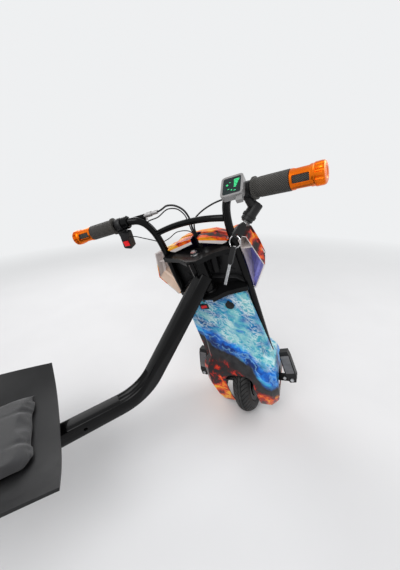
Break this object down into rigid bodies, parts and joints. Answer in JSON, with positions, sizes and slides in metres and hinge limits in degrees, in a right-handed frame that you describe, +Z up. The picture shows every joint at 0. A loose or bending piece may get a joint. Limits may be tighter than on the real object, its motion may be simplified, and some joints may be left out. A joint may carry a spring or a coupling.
{
  "type": "tricycle drifter scooter",
  "caption": "Electric drift tricycle with a steering front wheel under a printed shell and mask, a bent frame beam, bucket seat and swivelling rear casters.",
  "frame": {"origin": "bottom centre of the bounding box, on the ground", "axes": "+Y forward along the main beam, +X to the rider's right, +Z up"},
  "size_m": [0.5102, 1.1064, 0.7653],
  "materials": {
    "frame_black": "satin black powder coat",
    "plate_black": "matt black coat on pressed plate",
    "chrome": "polished",
    "zinc": "zinc plated",
    "silver_plastic": "silver moulded",
    "black_plastic": "satin moulded black",
    "black_rubber": "matt rubber",
    "tyre_rubber": "matt tyre rubber",
    "grey_rubber": "matt ribbed",
    "shell_print": "glossy marbled print in blues, teal and flame colours",
    "mask_print": "glossy flame coloured print, pale inside",
    "orange_plastic": "satin orange",
    "red_plastic": "glossy red",
    "display_glass": "dark glossy window",
    "caster_wheel": "matt moulded",
    "cable_black": "satin cable sheath",
    "seat_fabric": "woven black cover"
  },
  "bodies": {
    "frame": {"main_beam": "frame_black", "head_tube": "frame_black", "upper_bearing": "plate_black", "lower_bearing": "plate_black", "length_bolt": "zinc"},
    "rear_frame": {"rear_tube": "frame_black", "rear_crossbar": "frame_black", "seat_bracket": "plate_black", "seat_shell": "black_plastic", "seat_pad": "seat_fabric"},
    "caster_left": {"caster_fork_left": "zinc"},
    "caster_right": {"caster_fork_right": "zinc"},
    "caster_roller_left": {"caster_wheel_left": "caster_wheel"},
    "caster_roller_right": {"caster_wheel_right": "caster_wheel"},
    "front_end": {"left_column": "frame_black", "right_column": "frame_black", "crossbar": "frame_black", "top_plate": "plate_black", "lower_plate": "plate_black", "steering_bolt": "chrome", "rear_cover": "shell_print", "front_cover": "shell_print", "battery_pack": "black_plastic", "controller": "silver_plastic", "power_switch_frame": "black_plastic", "mask_fairing": "mask_print", "mask_panel": "black_plastic", "left_dropout": "frame_black", "right_dropout": "frame_black", "front_axle": "zinc", "left_peg_bracket": "plate_black", "right_peg_bracket": "plate_black", "left_grip": "black_rubber", "left_sleeve": "orange_plastic", "throttle_housing": "black_plastic", "display_body": "silver_plastic", "display_lens": "display_glass", "switch_box": "black_plastic", "brake_perch": "frame_black", "brake_cable": "cable_black", "brake_switch_wire": "cable_black", "throttle_cable": "cable_black", "switch_wire": "cable_black"},
    "front_wheel": {"hub_motor": "frame_black", "front_tyre": "tyre_rubber"},
    "peg_left": {"left_foot_peg": "black_plastic", "left_peg_pad": "grey_rubber"},
    "peg_right": {"right_foot_peg": "black_plastic", "right_peg_pad": "grey_rubber"},
    "brake_lever": {"brake_lever": "frame_black"},
    "throttle": {"throttle_grip": "black_rubber", "throttle_sleeve": "orange_plastic"},
    "power_rocker": {"power_rocker": "red_plastic"},
    "switch_button": {"switch_button": "red_plastic"},
    "ignition_key": {"ignition_key": "black_plastic", "key_lock": "chrome"},
    "key_ring": {"key_ring": "zinc"},
    "charge_cap": {"charge_cap": "black_rubber"}
  },
  "joints": [
    {"name": "steering", "type": "hinge", "parent": "frame", "child": "front_end", "pos_m": [-0.00209, 0.29278, 0.4725], "axis": [0, -0.3681, 0.9298], "range_deg": [-87, 13]},
    {"name": "front_wheel_spin", "type": "hinge", "parent": "front_end", "child": "front_wheel", "pos_m": [0.00271, 0.43408, 0.09823], "axis": [0.7997, 0.5583, 0.221], "continuous": true},
    {"name": "rear_frame_slide", "type": "slide", "parent": "frame", "child": "rear_frame", "axis": [0, -0.9966, -0.0819], "range_m": [0, 0.1]},
    {"name": "caster_swivel_left", "type": "hinge", "parent": "rear_frame", "child": "caster_left", "pos_m": [-0.22409, -0.46825, 0.12], "axis": [0, 0, 1], "continuous": true},
    {"name": "caster_spin_left", "type": "hinge", "parent": "caster_left", "child": "caster_roller_left", "pos_m": [-0.22409, -0.49825, 0.055], "axis": [1, 0, 0], "continuous": true},
    {"name": "peg_fold_left", "type": "hinge", "parent": "front_end", "child": "peg_left", "pos_m": [-0.11884, 0.33597, 0.09811], "axis": [0.5642, -0.8246, 0.0414], "range_deg": [0, 95]},
    {"name": "caster_swivel_right", "type": "hinge", "parent": "rear_frame", "child": "caster_right", "pos_m": [0.21991, -0.46825, 0.12], "axis": [0, 0, 1], "continuous": true},
    {"name": "caster_spin_right", "type": "hinge", "parent": "caster_right", "child": "caster_roller_right", "pos_m": [0.21991, -0.49825, 0.055], "axis": [1, 0, 0], "continuous": true},
    {"name": "peg_fold_right", "type": "hinge", "parent": "front_end", "child": "peg_right", "pos_m": [0.12426, 0.50568, 0.1653], "axis": [-0.5642, 0.8246, -0.0414], "range_deg": [0, 95]},
    {"name": "brake_lever_pull", "type": "hinge", "parent": "front_end", "child": "brake_lever", "pos_m": [-0.14452, 0.15068, 0.65597], "axis": [-0.2136, -0.1497, 0.9654], "range_deg": [0, 7], "stiffness_Nm_per_rad": 1.5},
    {"name": "throttle_twist", "type": "hinge", "parent": "front_end", "child": "throttle", "pos_m": [0.19552, 0.32085, 0.73785], "axis": [0.9136, 0.3666, 0.1762], "range_deg": [0, 60], "stiffness_Nm_per_rad": 0.3},
    {"name": "power_switch_tilt", "type": "hinge", "parent": "front_end", "child": "power_rocker", "pos_m": [-0.03198, 0.28781, 0.41675], "axis": [0, 0.3681, -0.9298], "range_deg": [0, 12]},
    {"name": "switch_button_press", "type": "slide", "parent": "front_end", "child": "switch_button", "axis": [-0.6004, 0.7435, 0.2944], "range_m": [0, 0.0018], "stiffness_N_per_m": 120},
    {"name": "ignition_turn", "type": "hinge", "parent": "front_end", "child": "ignition_key", "pos_m": [0.12987, 0.28963, 0.66807], "axis": [0.1208, 0.5993, 0.7913], "range_deg": [0, 90]},
    {"name": "key_ring_swing", "type": "hinge", "parent": "ignition_key", "child": "key_ring", "pos_m": [0.12613, 0.27105, 0.64354], "axis": [0.99, -0.131, -0.0519], "range_deg": [-30, 30]},
    {"name": "charge_cap_flip", "type": "hinge", "parent": "front_end", "child": "charge_cap", "pos_m": [0.03157, 0.32282, 0.44675], "axis": [-0.7997, -0.5583, -0.221], "range_deg": [0, 110]}
  ]
}
